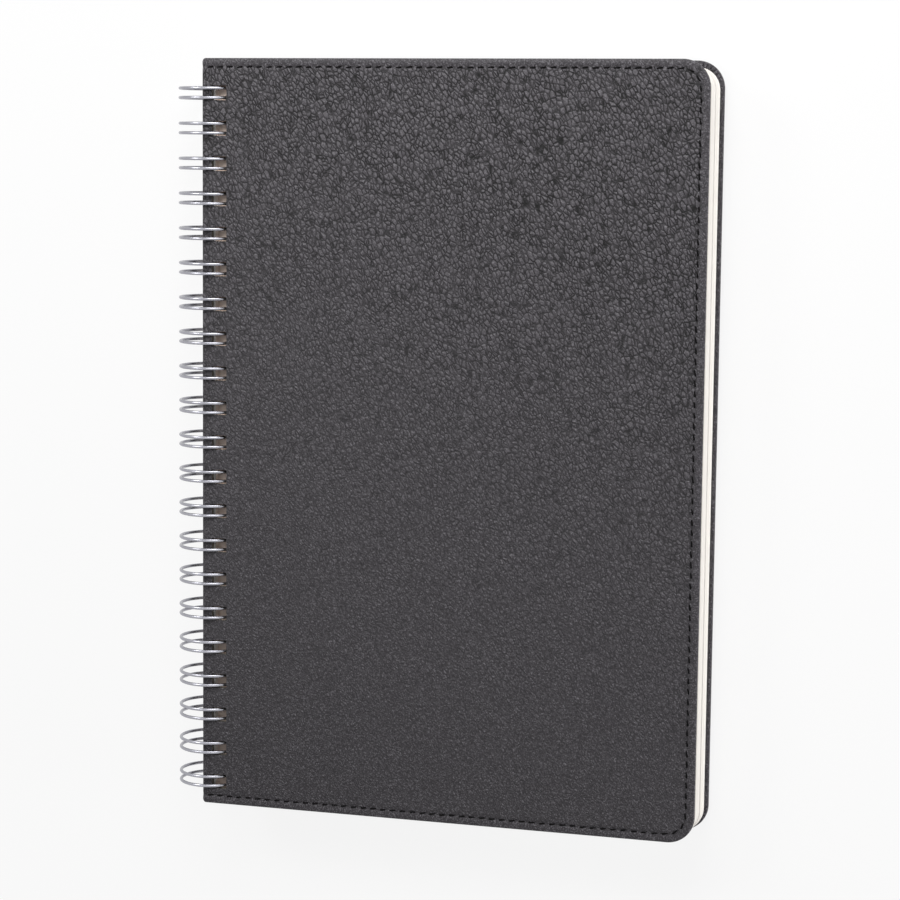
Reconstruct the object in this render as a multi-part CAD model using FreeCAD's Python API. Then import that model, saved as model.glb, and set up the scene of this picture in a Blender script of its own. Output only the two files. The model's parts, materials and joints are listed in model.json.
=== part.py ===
import FreeCAD, Part
import math
import os

# A twin-loop bound notebook lying closed on its back cover.
# X runs from the spine to the fore-edge, Y up the page, Z through the thickness.
# All sizes are in millimetres. The origin is under the middle of the whole notebook.

# Covers: leather wrapped round a board, with a lining sheet inside
cover_height = 210.0
front_cover_width = 142.0
back_cover_extra_width = 1.1
fore_corner_radius = 7.5
spine_corner_radius = 0.9
leather_thickness = 0.3
board_thickness = 1.0
board_edge_ease = 0.25
cut_corner_radius = 0.5
turn_in_width = 12.0
largest_rounding_share = 0.45

# Sheets, all one size, punched and stacked
page_side_inset = 3.25
page_end_inset = 2.0
stack_thickness = 11.25
page_corner_radius = 6.0
page_hole_width = 3.8
page_hole_setback = 4.8
page_hole_extra_height = 0.16
front_cover_gap = 0.3

# Wire: double loops, each loop a pair of wires that ends in a small bend
loop_pitch = 9.7
first_loop_from_top = 9.5
least_end_margin = 5.0
wire_diameter = 0.9
pair_spacing = 2.64
loop_rise = 0.57
base_bend_radius = 0.7
tip_gap = 0.3
end_stub_length = 1.2
seam_clearance = 0.175
cover_hole_clearance = 0.22
cover_hole_corner_radius = 0.3

# Stitching round the three open sides of each cover
stitch_inset = 2.4
stitch_pitch = 2.85
stitch_length = 1.7
stitch_start = 1.0
thread_width = 0.5
thread_crown = 0.28
thread_height = 0.22
seam_groove_width = 0.8
seam_groove_depth = 0.12

# Sizes that follow from the ones above
cover_thickness = 2.0 * leather_thickness + board_thickness
turned_edge_radius = min(leather_thickness + board_edge_ease, largest_rounding_share * cover_thickness)
back_cover_width = front_cover_width + back_cover_extra_width
page_width = front_cover_width - page_side_inset
page_height = cover_height - 2.0 * page_end_inset
loop_count = int((cover_height - first_loop_from_top - least_end_margin) / loop_pitch) + 1
wire_radius = wire_diameter / 2.0
half_pair = pair_spacing / 2.0
seam_gap = wire_diameter + 2.0 * seam_clearance
notebook_thickness = 2.0 * cover_thickness + front_cover_gap + stack_thickness + seam_gap
half_thickness = notebook_thickness / 2.0
ring_radius = half_thickness + loop_rise + wire_radius
ring_outer_radius = ring_radius + wire_radius
ring_inner_radius = ring_radius - wire_radius
cover_hole_height = pair_spacing + wire_diameter + 2.0 * cover_hole_clearance
page_hole_height = cover_hole_height + page_hole_extra_height
half_height = cover_height / 2.0

# Places: the loops turn about a line through the covers' spine edge, half way up the stack
spine_x = (ring_outer_radius - back_cover_width) / 2.0
ring_z = ring_outer_radius
front_inner_z = ring_z + half_thickness - cover_thickness
back_outer_z = ring_z - half_thickness
stack_top_z = front_inner_z - front_cover_gap
stack_bottom_z = stack_top_z - stack_thickness
seam_z = back_outer_z + cover_thickness + seam_gap / 2.0
seam_angle = math.asin((seam_z - ring_z) / ring_radius)

Vec = FreeCAD.Vector
along_y = Vec(0, 1, 0)
up = Vec(0, 0, 1)


def loop_heights():
    """Y of the middle of each double loop, from the top of the notebook down."""
    return [half_height - first_loop_from_top - loop_pitch * n for n in range(loop_count)]


def ring_x(z, radius=ring_radius):
    """X at which the right half of a loop of this radius passes the height z."""
    return spine_x + math.sqrt(radius ** 2 - (z - ring_z) ** 2)


def rounded_outline(x0, x1, y0, y1, spine_radius, fore_radius, z):
    """Closed outline of a plate with small corners at the spine and large ones at the fore-edge."""
    corners = [
        (x0, y0, spine_radius, 180.0),
        (x1, y0, fore_radius, 270.0),
        (x1, y1, fore_radius, 0.0),
        (x0, y1, spine_radius, 90.0),
    ]
    arcs = []
    for x, y, radius, start in corners:
        centre = Vec(x + radius if x == x0 else x - radius, y + radius if y == y0 else y - radius, z)
        arcs.append(Part.makeCircle(radius, centre, up, start, start + 90.0))
    edges = []
    for n, arc in enumerate(arcs):
        following = arcs[(n + 1) % len(arcs)]
        side_start = arc.valueAt(arc.LastParameter)
        side_end = following.valueAt(following.FirstParameter)
        edges += [arc, Part.makeLine(side_start, side_end)]
    return Part.Wire(edges)


def plate(width, inset, spine_radius, fore_radius, z, thickness):
    """Flat plate of a cover of this width, drawn in by inset on all four sides."""
    outline = rounded_outline(
        spine_x + inset,
        spine_x + width - inset,
        -half_height + inset,
        half_height - inset,
        spine_radius,
        fore_radius,
        z,
    )
    return Part.Face(outline).extrude(up * thickness)


def cover_punches(z):
    """One square punch per loop for a cover that starts at z: it clears the slanting wires."""
    x0 = ring_x(ring_z + half_thickness, ring_inner_radius) - cover_hole_clearance
    x1 = ring_x(front_inner_z, ring_outer_radius) + cover_hole_clearance
    half = cover_hole_height / 2.0
    radius = cover_hole_corner_radius
    punches = []
    for y in loop_heights():
        outline = rounded_outline(x0, x1, y - half, y + half, radius, radius, z - cover_thickness)
        punches.append(Part.Face(outline).extrude(up * (3.0 * cover_thickness)))
    return punches


def seam_path(width):
    """Pairs of neighbouring needle holes, from the spine round the open sides and back."""
    radius = fore_corner_radius - stitch_inset
    x_start = spine_x + stitch_start
    x_turn = spine_x + width - fore_corner_radius
    y_turn = half_height - fore_corner_radius
    y_side = half_height - stitch_inset
    top_run = x_turn - x_start
    side_run = 2.0 * y_turn
    corner_run = radius * math.pi / 2.0
    total = 2.0 * top_run + side_run + 2.0 * corner_run

    def point_at(distance):
        """Point of the seam at this distance from its start."""
        if distance <= top_run:
            return Vec(x_start + distance, y_side, 0)
        distance -= top_run
        if distance <= corner_run:
            turn = distance / radius
            return Vec(x_turn + radius * math.sin(turn), y_turn + radius * math.cos(turn), 0)
        distance -= corner_run
        if distance <= side_run:
            return Vec(x_turn + radius, y_turn - distance, 0)
        distance -= side_run
        if distance <= corner_run:
            turn = distance / radius
            return Vec(x_turn + radius * math.cos(turn), -y_turn - radius * math.sin(turn), 0)
        return Vec(x_turn - (distance - corner_run), -y_side, 0)

    count = int(total / stitch_pitch)
    return [(point_at(n * total / count), point_at((n + 1) * total / count)) for n in range(count)]


def stitch(start, end, z, rise):
    """One thread lying on z between two needle holes, flat below and narrower on top."""
    run = (end - start).normalize()
    side = Vec(-run.y, run.x, 0)
    middle = (start + end) / 2.0 + Vec(0, 0, z)
    first = middle - run * (stitch_length / 2.0)
    section = [
        first - side * (thread_width / 2.0),
        first + side * (thread_width / 2.0),
        first + side * (thread_crown / 2.0) + up * rise,
        first - side * (thread_crown / 2.0) + up * rise,
    ]
    return Part.Face(Part.makePolygon(section + section[:1])).extrude(run * stitch_length)


def stitching(width, z):
    """Threads on both faces of a cover that starts at z."""
    threads = []
    for start, end in seam_path(width):
        threads.append(stitch(start, end, z + cover_thickness - seam_groove_depth, thread_height))
        threads.append(stitch(start, end, z + seam_groove_depth, -thread_height))
    return Part.makeCompound(threads)


def seam_groove(width, z):
    """The shallow trough that the seam pulls into the leather, open at the spine."""
    half = seam_groove_width / 2.0
    rings = []
    for inset in (stitch_inset - half, stitch_inset + half):
        outline = rounded_outline(
            spine_x - fore_corner_radius,
            spine_x + width - inset,
            -half_height + inset,
            half_height - inset,
            fore_corner_radius - inset,
            fore_corner_radius - inset,
            z,
        )
        rings.append(Part.Face(outline).extrude(up * seam_groove_depth))
    return rings[0].cut(rings[1])


def turned_edges(shape, z):
    """Outer edges of a plate in both of its faces, where the leather turns round the board."""
    levels = (z, z + cover_thickness)
    return [
        edge
        for edge in shape.Edges
        if any(all(abs(v.Z - level) < leather_thickness / 2.0 for v in edge.Vertexes) for level in levels)
    ]


def cover(name, width, z, outer_is_up):
    """The four pieces of one cover: leather, board, lining and stitching."""
    skin = plate(width, 0.0, spine_corner_radius, fore_corner_radius, z, cover_thickness)
    skin = skin.makeFillet(turned_edge_radius, turned_edges(skin, z))
    board = plate(
        width,
        leather_thickness,
        cut_corner_radius,
        fore_corner_radius - leather_thickness,
        z + leather_thickness,
        board_thickness,
    )
    lining_z = z if outer_is_up else z + cover_thickness - leather_thickness
    lining = plate(
        width, turn_in_width, cut_corner_radius, cut_corner_radius, lining_z, leather_thickness
    )
    grooves = [seam_groove(width, z), seam_groove(width, z + cover_thickness - seam_groove_depth)]
    punches = cover_punches(z)
    leather = skin.cut([board, lining] + grooves + punches)
    return {
        name + "_leather": leather,
        name + "_board": board.cut(punches),
        name + "_lining": lining.cut(punches),
        name + "_stitching": stitching(width, z),
    }


def stack_profile(x_left, x_right, y, z0, z1):
    """Face in an XZ plane whose two sides follow the loops, as sheets slid along the wire do."""

    def side(x_offset):
        points = [Vec(ring_x(z) + x_offset, y, z) for z in (z0, (z0 + z1) / 2.0, z1)]
        return Part.Arc(*points).toShape(), points[0], points[-1]

    left, left_low, left_high = side(x_left)
    right, right_low, right_high = side(x_right)
    edges = [right, Part.makeLine(right_high, left_high), left, Part.makeLine(left_low, right_low)]
    return Part.Face(Part.Wire(Part.__sortEdges__(edges)))


def page_block():
    """All sheets as one solid, bowed to the loops, with a bowed channel for each loop."""
    heights = (stack_bottom_z, (stack_bottom_z + stack_top_z) / 2.0, stack_top_z)
    slide = Part.Arc(*[Vec(ring_x(z), 0, z) for z in heights]).toShape()
    x_spine_edge = ring_x(stack_bottom_z) - page_hole_setback
    sheet = rounded_outline(
        x_spine_edge,
        x_spine_edge + page_width,
        -page_height / 2.0,
        page_height / 2.0,
        cut_corner_radius,
        page_corner_radius,
        stack_bottom_z,
    )
    stack = Part.BRepOffsetAPI.MakePipeShell(Part.Wire(slide))
    stack.setTrihedronMode(Vec(0, 0, 0), up)
    stack.add(sheet)
    stack.build()
    stack.makeSolid()
    half = page_hole_width / 2.0
    spare = front_cover_gap
    channels = [
        stack_profile(-half, half, y - page_hole_height / 2.0, stack_bottom_z - spare, stack_top_z + spare)
        .extrude(along_y * page_hole_height)
        for y in loop_heights()
    ]
    return stack.shape().cut(channels)


def ring_point(angle, y):
    """Point on the wire's line at this angle, measured from the fore-edge side upwards."""
    return Vec(spine_x + ring_radius * math.cos(angle), y, ring_z + ring_radius * math.sin(angle))


def ring_tangent(angle):
    """Direction of travel along a loop at this angle."""
    return Vec(-math.sin(angle), 0, math.cos(angle))


def rod(centre_line):
    """Round wire along one arc or line."""
    start = centre_line.valueAt(centre_line.FirstParameter)
    circle = Part.makeCircle(wire_radius, start, centre_line.tangentAt(centre_line.FirstParameter))
    section = Part.Face(Part.Wire(circle))
    line = centre_line.Curve
    if isinstance(line, Part.Circle):
        turn = math.degrees(centre_line.LastParameter - centre_line.FirstParameter)
        return section.revolve(line.Center, line.Axis, turn)
    return section.extrude(centre_line.valueAt(centre_line.LastParameter) - start)


def arc_through(start, middle, end):
    """Centre line of a bend."""
    return Part.Arc(start, middle, end).toShape()


def bend_middle(corner_centre, start, end):
    """Middle point of a quarter bend about this centre."""
    outward = (start + end) / 2.0 - corner_centre
    return corner_centre + outward.normalize() * (start - corner_centre).Length


def double_loop(y, base_angle, tip_angle):
    """Two wires round the spine and the small bend that joins their tips."""
    lines = []
    for y_wire in (y - half_pair, y + half_pair):
        middle = ring_point((base_angle + tip_angle) / 2.0, y_wire)
        lines.append(arc_through(ring_point(base_angle, y_wire), middle, ring_point(tip_angle, y_wire)))
    tip = ring_point(tip_angle, y) + ring_tangent(tip_angle) * half_pair
    lines.append(arc_through(ring_point(tip_angle, y - half_pair), tip, ring_point(tip_angle, y + half_pair)))
    return lines


def base_bend(y_wire, away, base_angle):
    """Quarter bend from the foot of one wire towards the neighbouring loop, and where it ends."""
    foot = ring_point(base_angle, y_wire)
    centre = foot + along_y * (away * base_bend_radius)
    end = centre - ring_tangent(base_angle) * base_bend_radius
    return arc_through(foot, bend_middle(centre, foot, end), end), end


def wire_binding():
    """The whole binding wire: loops joined at their feet by short straights along the spine."""
    base_angle = seam_angle + base_bend_radius / ring_radius
    tip_angle = seam_angle + 2.0 * math.pi - (tip_gap + half_pair) / ring_radius
    heights = loop_heights()
    lines = []
    for y in heights:
        lines += double_loop(y, base_angle, tip_angle)
    for upper, lower in zip(heights[:-1], heights[1:]):
        first, first_end = base_bend(upper - half_pair, -1.0, base_angle)
        second, second_end = base_bend(lower + half_pair, 1.0, base_angle)
        lines += [first, Part.makeLine(first_end, second_end), second]
    for y_wire, away in ((heights[0] + half_pair, 1.0), (heights[-1] - half_pair, -1.0)):
        bend, end = base_bend(y_wire, away, base_angle)
        lines += [bend, Part.makeLine(end, end + along_y * (away * end_stub_length))]
    rods = [rod(line) for line in lines]
    return rods[0].multiFuse(rods[1:])


def build():
    """Every piece of the notebook by name."""
    pieces = {"page_block": page_block(), "wire_binding": wire_binding()}
    pieces.update(cover("front_cover", front_cover_width, front_inner_z, True))
    pieces.update(cover("back_cover", back_cover_width, back_outer_z, False))
    return pieces


os.makedirs("parts", exist_ok=True)
for piece_name, piece in build().items():
    print(f"{piece_name}: {len(piece.Solids)} solids, valid {piece.isValid()}, {piece.Volume:.1f} mm3")
    piece.exportStep(os.path.join("parts", piece_name + ".step"))
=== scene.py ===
"""Twin-loop notebook with stitched, pebble-grained covers, dressed on its solid frame."""

import json
import logging
import math
import random
from dataclasses import dataclass
from enum import Enum

import bmesh
import bpy
from bmesh.types import BMEdge, BMesh, BMFace, BMVert
from bpy.types import Material, Mesh, Node, NodeSocket, NodeTree, Object
from mathutils import Matrix, Vector


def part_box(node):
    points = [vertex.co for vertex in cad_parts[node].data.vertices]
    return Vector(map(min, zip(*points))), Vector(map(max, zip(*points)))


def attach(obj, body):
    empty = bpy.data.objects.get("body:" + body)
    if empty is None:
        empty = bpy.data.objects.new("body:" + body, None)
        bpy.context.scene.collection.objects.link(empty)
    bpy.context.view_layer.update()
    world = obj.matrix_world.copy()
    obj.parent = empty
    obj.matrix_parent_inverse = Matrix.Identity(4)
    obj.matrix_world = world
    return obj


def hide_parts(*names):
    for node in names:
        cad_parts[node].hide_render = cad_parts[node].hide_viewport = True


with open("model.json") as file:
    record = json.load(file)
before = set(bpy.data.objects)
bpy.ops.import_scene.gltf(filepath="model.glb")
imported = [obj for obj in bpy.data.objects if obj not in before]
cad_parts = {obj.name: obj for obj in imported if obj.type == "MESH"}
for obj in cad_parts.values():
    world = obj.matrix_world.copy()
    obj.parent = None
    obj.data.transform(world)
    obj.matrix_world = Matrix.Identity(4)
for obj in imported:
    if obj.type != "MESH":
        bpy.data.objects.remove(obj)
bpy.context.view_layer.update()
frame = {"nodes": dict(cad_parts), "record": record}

logging.basicConfig(level=logging.INFO, format="%(message)s")
log = logging.getLogger("notebook")

MM = 0.001
IMAGE_WIDTH_PX = 900.0
SENSOR_WIDTH_MM = 36.0
SMALL_CORNER_STEPS = 4
MATH, VECTOR_MATH, MAP_RANGE = "ShaderNodeMath", "ShaderNodeVectorMath", "ShaderNodeMapRange"
NOISE, MIX, BUMP = "ShaderNodeTexNoise", "ShaderNodeMix", "ShaderNodeBump"
COLOURS = {"data_type": "RGBA"}
PRODUCT, PRODUCT_SUM, LARGER = ({"operation": name} for name in ("MULTIPLY", "MULTIPLY_ADD", "MAXIMUM"))


def linear(hex_code: str) -> tuple[float, float, float, float]:
    """Linear colour of an sRGB hex value.

    Args:
        hex_code: six hex digits, such as "4a474a".

    Returns:
        Red, green, blue and an alpha of 1.
    """
    channels = []
    for n in (0, 2, 4):
        value = int(hex_code[n:n + 2], 16) / 255.0
        channels.append(value / 12.92 if value <= 0.04045 else ((value + 0.055) / 1.055) ** 2.4)
    return (*channels, 1.0)


def add_node(tree: NodeTree, kind: str, settings: dict | None = None, **inputs) -> Node:
    """Adds one shader node, sets it up and links what feeds it.

    Args:
        tree: node tree that the node goes into.
        kind: Blender's name of the node type.
        settings: properties of the node itself.
        inputs: socket name, with _ for a space, or iN for socket number N, to a value or an output socket.

    Returns:
        The new node.
    """
    node = tree.nodes.new(kind)
    for name, value in (settings or {}).items():
        setattr(node, name, value)
    for name, value in inputs.items():
        socket = node.inputs[int(name[1:])] if name[1:].isdigit() else node.inputs[name.replace("_", " ")]
        if isinstance(value, NodeSocket):
            tree.links.new(value, socket)
        else:
            socket.default_value = value
    return node


def empty_tree(owner: bpy.types.ID) -> NodeTree:
    """Node tree without the nodes that it starts with.

    Args:
        owner: a new material, or the room.

    Returns:
        Its tree.
    """
    owner.use_nodes = True
    owner.node_tree.nodes.clear()
    return owner.node_tree


def place_object(name: str, data: bpy.types.ID) -> Object:
    """Puts a mesh, a lamp or a camera into the scene.

    Args:
        name: the object's name.
        data: what it shows.

    Returns:
        The object, at the origin.
    """
    thing = bpy.data.objects.new(name, data)
    bpy.context.scene.collection.objects.link(thing)
    return thing


class Finish:
    """One real material, whose looks are worked out in object coordinates."""

    name: str

    def looks(self, tree: NodeTree, place: NodeSocket) -> dict[str, object]:
        """What each kind of finish gives the shader.

        Args:
            tree: node tree of the material.
            place: object coordinates, in metres.

        Returns:
            A constant or an output socket for each named socket of the shader.
        """
        raise NotImplementedError

    def material(self) -> Material:
        """The finish as a material, ready to be put on a piece."""
        material = bpy.data.materials.new(self.name)
        tree = empty_tree(material)
        place = add_node(tree, "ShaderNodeTexCoord").outputs["Object"]
        shader = add_node(tree, "ShaderNodeBsdfPrincipled", **self.looks(tree, place))
        add_node(tree, "ShaderNodeOutputMaterial", Surface=shader.outputs["BSDF"])
        return material


@dataclass(frozen=True)
class PebbledLeather(Finish):
    """Imitation leather: a coated cloth embossed with an irregular pebble grain."""

    name: str = "pebbled_imitation_leather"
    pebble_mm: float = 1.34
    fine_pebble_mm: float = 0.8
    randomness: float = 0.85
    pore_mm: float = 0.36
    pore_share: float = 0.34
    flow_mm: float = 22.0
    flow_reach_mm: float = 3.0
    ragged_mm: float = 1.1
    ragged_reach_mm: float = 0.34
    reach_in_depth: float = 0.3
    lean_deg: float = -26.0
    stretch: tuple[float, float, float] = (1.3, 0.76, 0.45)
    crease_share: float = 0.2
    dome_share: float = 0.34
    relief_mm: float = 0.3
    # This slope also paints the leather's colour darker toward the foot: painted shade.
    depth_and_shade_slope: tuple[float, float, float] = (0.0022, 0.0056, 0.0)
    depth_and_shade_span: tuple[float, float] = (-0.75, 0.52)
    pebble_depths: tuple[float, float] = (0.16, 1.0)
    fine_depths: tuple[float, float] = (0.56, 0.2)
    patch_mm: float = 21.0
    patch_share: float = 0.2
    fade_mm: float = 2.6
    fade_span: tuple[float, float] = (0.34, 0.58)
    fade_least: float = 0.75
    seam_x_mm: float = 73.2
    seam_y_mm: float = 102.8
    seam_inner_mm: float = 0.4
    seam_outer_mm: float = 0.5
    margin_share: float = 0.42
    # Painted shade toward the foot: this darker colour takes over there, and also outside the seam.
    pressed_and_shaded_hex: str = "312e32"
    land_hex: str = "585559"
    # Paler specks, partly wear and partly painted highlights.
    rub_and_glint_hex: str = "7a777c"
    rub_and_glint_span: tuple[float, float] = (0.48, 0.72)
    # Painted shade: the creases are painted near black where shade falls in them.
    crease_shade_hex: str = "030303"
    roughness_low: float = 0.36
    roughness_high: float = 0.66
    specular: float = 0.25

    def net(self, tree: NodeTree, place: NodeSocket, size: float) -> list[NodeSocket]:
        """One net of pebbles parted by creases.

        Args:
            tree: node tree of the material.
            place: bent coordinates, in millimetres.
            size: mean width of a pebble in millimetres.

        Returns:
            The pebbles' height and the creases, both from 0 to 1.
        """
        cells = add_node(
            tree,
            "ShaderNodeTexVoronoi",
            {"feature": "DISTANCE_TO_EDGE"},
            Vector=place,
            Scale=1.0 / size,
            Randomness=self.randomness,
        )
        smooth, away = {"interpolation_type": "SMOOTHSTEP"}, cells.outputs["Distance"]
        spans = ((self.dome_share, 0.0, 1.0), (self.crease_share, 1.0, 0.0))
        steps = [
            add_node(tree, MAP_RANGE, smooth, Value=away, From_Max=reach, To_Min=at_edge, To_Max=inside)
            for reach, at_edge, inside in spans
        ]
        return [step.outputs["Result"] for step in steps]

    def bent(self, tree: NodeTree, in_mm: NodeSocket) -> NodeSocket:
        """Coordinates that wander slowly and fray finely, drawn out along a leaning line.

        Args:
            tree: node tree of the material.
            in_mm: plain coordinates, in millimetres.

        Returns:
            The bent coordinates.
        """
        place = in_mm
        wander, fray = (self.flow_mm, self.flow_reach_mm, 1.0), (self.ragged_mm, self.ragged_reach_mm, 2.0)
        for size, reach, detail in (wander, fray):
            noise = add_node(tree, NOISE, Vector=in_mm, Scale=1.0 / size, Detail=detail).outputs["Color"]
            centred = add_node(tree, VECTOR_MATH, {"operation": "SUBTRACT"}, i0=noise, i1=(0.5, 0.5, 0.5))
            way, reaches = centred.outputs["Vector"], (reach, reach, reach * self.reach_in_depth)
            place = add_node(tree, VECTOR_MATH, PRODUCT_SUM, i0=way, i1=reaches, i2=place).outputs["Vector"]
        lean = (0.0, 0.0, math.radians(self.lean_deg))
        turned = add_node(tree, "ShaderNodeMapping", Vector=place, Rotation=lean).outputs["Vector"]
        return add_node(tree, "ShaderNodeMapping", Vector=turned, Scale=self.stretch).outputs["Vector"]

    def depths_and_painted_shade(self, tree: NodeTree, in_mm: NodeSocket) -> list[NodeSocket]:
        """How deep the embossing went: boldest at the head by the fore-edge, pressed flat outside the seam;
        the same depth paints the colour darker toward the foot, as painted shade.

        Args:
            tree: node tree of the material.
            in_mm: plain coordinates, in millimetres.

        Returns:
            The depth of the large pebbles, which also paints shade into the colour, and of the fine ones.
        """
        dot = {"operation": "DOT_PRODUCT"}
        slope = add_node(tree, VECTOR_MATH, dot, i0=in_mm, i1=self.depth_and_shade_slope).outputs["Value"]
        patch = add_node(tree, NOISE, Vector=in_mm, Scale=1.0 / self.patch_mm, Detail=2.0).outputs["Fac"]
        strength = add_node(tree, MATH, PRODUCT_SUM, i0=patch, i1=self.patch_share, i2=slope).outputs["Value"]
        apart = add_node(tree, "ShaderNodeSeparateXYZ", Vector=in_mm)
        height = add_node(tree, MATH, {"operation": "ABSOLUTE"}, i0=apart.outputs["Y"]).outputs["Value"]
        sides = []
        for value, line in ((apart.outputs["X"], self.seam_x_mm), (height, self.seam_y_mm)):
            seam = {"From_Min": line - self.seam_inner_mm, "From_Max": line + self.seam_outer_mm}
            side = add_node(tree, MAP_RANGE, Value=value, To_Min=1.0, To_Max=self.margin_share, **seam)
            sides.append(side.outputs["Result"])
        inside = add_node(tree, MATH, {"operation": "MINIMUM"}, i0=sides[0], i1=sides[1]).outputs["Value"]
        span = {"From_Min": self.depth_and_shade_span[0], "From_Max": self.depth_and_shade_span[1]}
        depths = []
        for faint, full in (self.pebble_depths, self.fine_depths):
            depth = add_node(tree, MAP_RANGE, Value=strength, To_Min=faint, To_Max=full, **span)
            pressed = add_node(tree, MATH, PRODUCT, i0=depth.outputs["Result"], i1=inside)
            depths.append(pressed.outputs["Value"])
        return depths

    def looks(self, tree: NodeTree, place: NodeSocket) -> dict[str, object]:
        """Charcoal with flat-topped pebbles parted by thin creases on a diagonal; the creases are painted
        black as shade, the colour is painted darker toward the foot as shade, and paler specks are partly
        wear and partly painted highlights.

        Args:
            tree: node tree of the material.
            place: object coordinates, in metres.

        Returns:
            What the shader is given.
        """
        # A heated roller pressed the grain into the coating, so the eye sees flat, slightly worn pebbles with
        # a soft sheen between thin creases, deep at the head and faint at the foot.
        scaled = add_node(tree, VECTOR_MATH, {"operation": "SCALE"}, i0=place, Scale=1.0 / MM)
        in_mm = scaled.outputs["Vector"]
        bent = self.bent(tree, in_mm)
        depth_and_painted_shade, fine = self.depths_and_painted_shade(tree, in_mm)
        fade = add_node(tree, NOISE, Vector=in_mm, Scale=1.0 / self.fade_mm, Detail=2.0).outputs["Fac"]
        low, high = self.fade_span
        uneven = add_node(tree, MAP_RANGE, Value=fade, From_Min=low, From_Max=high, To_Min=self.fade_least)
        depth = add_node(tree, MATH, PRODUCT, i0=depth_and_painted_shade, i1=uneven.outputs["Result"]).outputs["Value"]
        pores = add_node(tree, NOISE, Vector=in_mm, Scale=1.0 / self.pore_mm, Detail=2.0).outputs["Fac"]
        height = add_node(tree, MATH, PRODUCT, i0=pores, i1=self.pore_share).outputs["Value"]
        crease_shade_mask = 0.0
        for size, share in ((self.pebble_mm, depth), (self.fine_pebble_mm, fine)):
            dome, crease = self.net(tree, bent, size)
            height = add_node(tree, MATH, PRODUCT_SUM, i0=dome, i1=share, i2=height).outputs["Value"]
            # Painted shade in the creases, deepest where the grain is deepest.
            dark = add_node(tree, MATH, PRODUCT, i0=crease, i1=share).outputs["Value"]
            crease_shade_mask = add_node(tree, MATH, LARGER, i0=dark, i1=crease_shade_mask).outputs["Value"]
        # Paler specks at the pores: partly wear, partly painted highlights.
        low, high = self.rub_and_glint_span
        rubbed_and_glints = add_node(tree, MAP_RANGE, Value=pores, From_Min=low, From_Max=high).outputs["Result"]
        # Painted shade: the depth mask darkens the colour from the head down to the foot.
        colour = linear(self.pressed_and_shaded_hex)
        for share, hex_code in ((depth_and_painted_shade, self.land_hex), (rubbed_and_glints, self.rub_and_glint_hex), (crease_shade_mask, self.crease_shade_hex)):
            paint = linear(hex_code)
            colour = add_node(tree, MIX, COLOURS, Factor=share, A=colour, B=paint).outputs["Result"]
        low, high = self.roughness_low, self.roughness_high
        return {
            "Base Color": colour,
            "Roughness": add_node(tree, MAP_RANGE, Value=crease_shade_mask, To_Min=low, To_Max=high).outputs["Result"],
            "Normal": add_node(
                tree, BUMP, Strength=1.0, Distance=self.relief_mm * MM, Height=height
            ).outputs["Normal"],
            "Specular IOR Level": self.specular,
        }


@dataclass(frozen=True)
class CutPaper(Finish):
    """Uncoated writing paper: faces stay matt, cut edges show the sheets as fine lines."""

    name: str = "uncoated_paper"
    sheet_mm: float = 0.42
    line_span: tuple[float, float] = (0.35, 0.62)
    fibre_mm: float = 0.6
    fibre_share: float = 0.15
    tooth_mm: float = 0.1
    bump: float = 0.5
    paper_hex: str = "f5f2ee"
    shade_hex: str = "e6e0d8"
    roughness: float = 0.85
    specular: float = 0.25

    def looks(self, tree: NodeTree, place: NodeSocket) -> dict[str, object]:
        """Matt off-white with faint lines across the stack, drawn coarser than real sheets.

        Args:
            tree: node tree of the material.
            place: object coordinates, in metres.

        Returns:
            What the shader is given.
        """
        # Uncoated stock, cut in a stack, has no gloss, and its edges read as a bundle of fine lines.
        # Real sheets, about 0.1 mm thick, wouldn't show, so the lines are drawn sheet_mm apart.
        across = add_node(tree, "ShaderNodeSeparateXYZ", Vector=place).outputs["Z"]
        line, scale = {"noise_dimensions": "1D"}, 1.0 / (self.sheet_mm * MM)
        sheets = add_node(tree, NOISE, line, W=across, Scale=scale, Detail=2.0).outputs["Fac"]
        low, high = self.line_span
        pale = add_node(tree, MAP_RANGE, Value=sheets, From_Min=low, From_Max=high).outputs["Result"]
        shade, paper = linear(self.shade_hex), linear(self.paper_hex)
        scale = 1.0 / (self.fibre_mm * MM)
        fibre = add_node(tree, NOISE, Vector=place, Scale=scale, Detail=3.0).outputs["Fac"]
        height = add_node(tree, MATH, PRODUCT_SUM, i0=fibre, i1=self.fibre_share, i2=sheets).outputs["Value"]
        bump = add_node(tree, BUMP, Strength=self.bump, Distance=self.tooth_mm * MM, Height=height)
        return {
            "Base Color": add_node(tree, MIX, COLOURS, Factor=pale, A=shade, B=paper).outputs["Result"],
            "Normal": bump.outputs["Normal"],
            "Roughness": self.roughness,
            "Specular IOR Level": self.specular,
        }


@dataclass(frozen=True)
class PlatedWire(Finish):
    """Bright plated steel wire, drawn, so its polish runs a little uneven along the length."""

    name: str = "bright_plated_steel"
    metal_hex: str = "a2a2a9"
    mark_mm: float = 1.6
    mark_depth_mm: float = 0.02
    bump: float = 0.25
    roughness_low: float = 0.16
    roughness_high: float = 0.34

    def looks(self, tree: NodeTree, place: NodeSocket) -> dict[str, object]:
        """Silver metal with soft highlights and faint drawing marks.

        Args:
            tree: node tree of the material.
            place: object coordinates, in metres.

        Returns:
            What the shader is given.
        """
        # Drawn and then plated wire is a silver mirror whose highlights break a little along its length.
        scale = 1.0 / (self.mark_mm * MM)
        marks = add_node(tree, NOISE, Vector=place, Scale=scale, Detail=4.0).outputs["Fac"]
        low, high = self.roughness_low, self.roughness_high
        bump = add_node(tree, BUMP, Strength=self.bump, Distance=self.mark_depth_mm * MM, Height=marks)
        return {
            "Base Color": linear(self.metal_hex),
            "Metallic": 1.0,
            "Roughness": add_node(tree, MAP_RANGE, Value=marks, To_Min=low, To_Max=high).outputs["Result"],
            "Normal": bump.outputs["Normal"],
        }


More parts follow.
